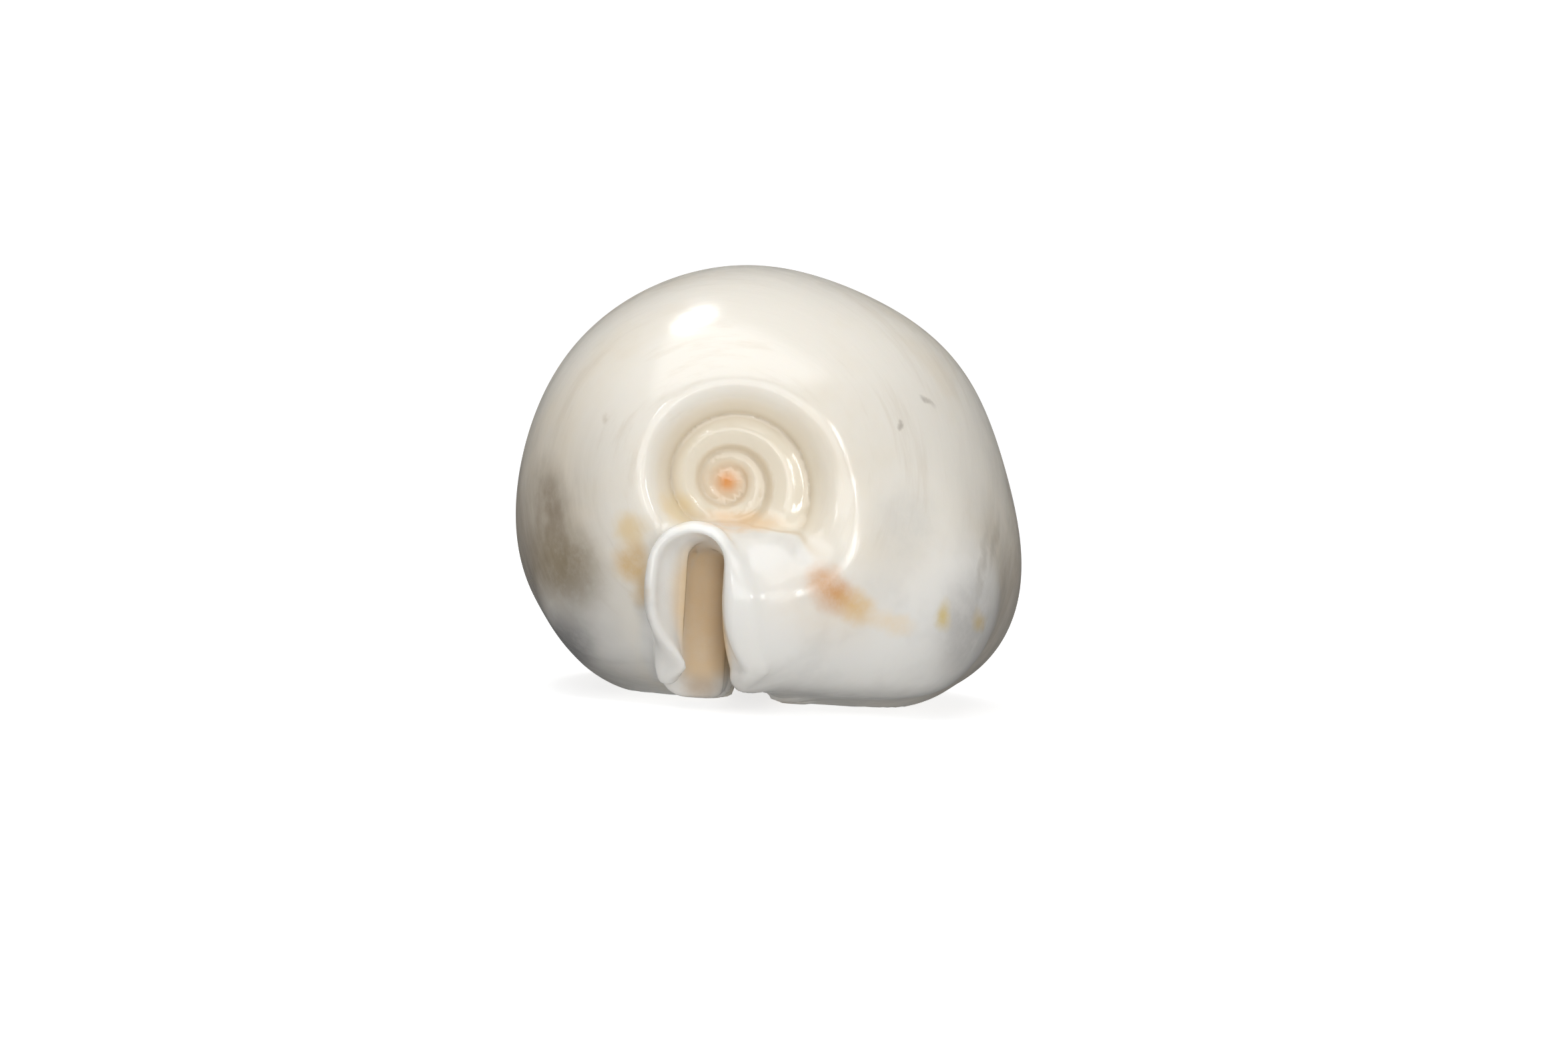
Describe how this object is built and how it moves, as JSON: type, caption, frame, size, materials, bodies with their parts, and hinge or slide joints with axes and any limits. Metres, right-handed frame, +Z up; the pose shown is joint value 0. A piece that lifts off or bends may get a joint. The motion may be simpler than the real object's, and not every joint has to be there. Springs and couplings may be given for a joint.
{
  "type": "cowrie shell",
  "caption": "Large pale cowrie shell with a sunken spire, toothed aperture and thick lips; a natural decorative shell that rests on its lips.",
  "frame": {"origin": "middle of the shell's bounding box, on the floor that its two lips rest on", "axes": "+Y along the shell from the spire end to the front end, +Z up from the lips to the back, +X towards the outer lip"},
  "size_m": [0.0598, 0.0936, 0.0503],
  "materials": {
    "enamel": "gloss"
  },
  "bodies": {
    "root": {"cowrie_shell": "enamel"}
  },
  "joints": []
}
